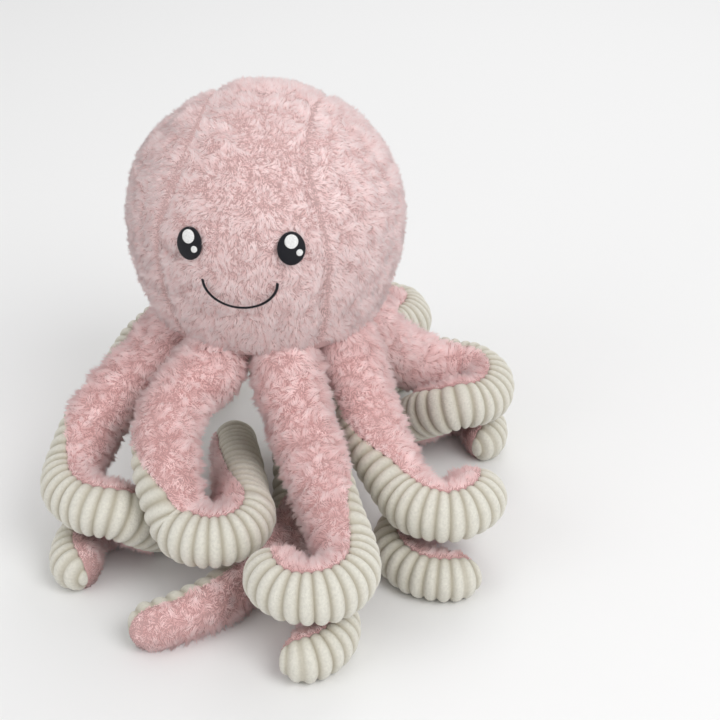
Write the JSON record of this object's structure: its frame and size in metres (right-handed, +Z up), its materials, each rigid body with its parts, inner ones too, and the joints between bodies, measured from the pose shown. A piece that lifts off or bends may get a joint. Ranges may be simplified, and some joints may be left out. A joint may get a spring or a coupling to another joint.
{
  "type": "plush octopus",
  "caption": "Plush octopus with a round stuffed head, embroidered face and long curled arms of soft pile with ribbed undersides, sitting on its arms.",
  "frame": {"origin": "on the floor, below the middle of the whole outline", "axes": "+Z up from the floor, the face looks along -Y, +X to the right as the face is seen"},
  "size_m": [0.389, 0.493, 0.343],
  "materials": {
    "head_pile": "short soft pile, pale pink",
    "arm_pile": "short soft pile, pink",
    "ribbed_cloth": "wide ribbed plush, cream",
    "dark_stitching": "satin stitching, near black",
    "light_stitching": "satin stitching, off white",
    "filling": "loose polyester fibre, white"
  },
  "bodies": {
    "head": {"head_front_panel": "head_pile", "head_back_panel": "head_pile", "head_left_panel": "head_pile", "head_right_panel": "head_pile", "base_panel": "head_pile", "head_filling": "filling", "left_eye": "dark_stitching", "left_eye_shine": "light_stitching", "left_eye_spark": "light_stitching", "right_eye": "dark_stitching", "right_eye_shine": "light_stitching", "right_eye_spark": "light_stitching", "smile": "dark_stitching"},
    "front_left_arm": {"front_left_arm_top": "arm_pile", "front_left_arm_underside": "ribbed_cloth", "front_left_arm_filling": "filling"},
    "front_right_arm": {"front_right_arm_top": "arm_pile", "front_right_arm_underside": "ribbed_cloth", "front_right_arm_filling": "filling"},
    "left_fore_arm": {"left_fore_arm_top": "arm_pile", "left_fore_arm_underside": "ribbed_cloth", "left_fore_arm_filling": "filling"},
    "right_fore_arm": {"right_fore_arm_top": "arm_pile", "right_fore_arm_underside": "ribbed_cloth", "right_fore_arm_filling": "filling"},
    "left_aft_arm": {"left_aft_arm_top": "arm_pile", "left_aft_arm_underside": "ribbed_cloth", "left_aft_arm_filling": "filling"},
    "right_aft_arm": {"right_aft_arm_top": "arm_pile", "right_aft_arm_underside": "ribbed_cloth", "right_aft_arm_filling": "filling"},
    "rear_left_arm": {"rear_left_arm_top": "arm_pile", "rear_left_arm_underside": "ribbed_cloth", "rear_left_arm_filling": "filling"},
    "rear_right_arm": {"rear_right_arm_top": "arm_pile", "rear_right_arm_underside": "ribbed_cloth", "rear_right_arm_filling": "filling"}
  },
  "joints": [
    {"name": "front_left_arm_swing", "type": "hinge", "parent": "head", "child": "front_left_arm", "pos_m": [-0.03724, -0.02949, 0.158], "axis": [0, 0, 1], "range_deg": [0, 5], "stiffness_Nm_per_rad": 2},
    {"name": "front_right_arm_lift", "type": "hinge", "parent": "head", "child": "front_right_arm", "pos_m": [0.02465, -0.05008, 0.158], "axis": [-0.9239, -0.3827, 0], "range_deg": [0, 25], "stiffness_Nm_per_rad": 3},
    {"name": "left_fore_arm_lift", "type": "hinge", "parent": "head", "child": "left_fore_arm", "pos_m": [-0.09555, -0.00029, 0.158], "axis": [-0.3827, 0.9239, 0], "range_deg": [0, 25], "stiffness_Nm_per_rad": 3},
    {"name": "right_fore_arm_lift", "type": "hinge", "parent": "head", "child": "right_fore_arm", "pos_m": [0.07444, -0.00029, 0.158], "axis": [-0.3827, -0.9239, 0], "range_deg": [0, 25], "stiffness_Nm_per_rad": 3},
    {"name": "left_aft_arm_lift", "type": "hinge", "parent": "head", "child": "left_aft_arm", "pos_m": [-0.09555, 0.07013, 0.158], "axis": [0.3827, 0.9239, 0], "range_deg": [0, 25], "stiffness_Nm_per_rad": 3},
    {"name": "right_aft_arm_lift", "type": "hinge", "parent": "head", "child": "right_aft_arm", "pos_m": [0.07444, 0.07013, 0.158], "axis": [0.3827, -0.9239, 0], "range_deg": [0, 25], "stiffness_Nm_per_rad": 3},
    {"name": "rear_left_arm_swing", "type": "hinge", "parent": "head", "child": "rear_left_arm", "pos_m": [-0.03724, 0.09933, 0.158], "axis": [0, 0, 1], "range_deg": [-2, 3], "stiffness_Nm_per_rad": 2},
    {"name": "rear_right_arm_lift", "type": "hinge", "parent": "head", "child": "rear_right_arm", "pos_m": [0.02465, 0.11992, 0.158], "axis": [0.9239, -0.3827, 0], "range_deg": [0, 25], "stiffness_Nm_per_rad": 3}
  ]
}
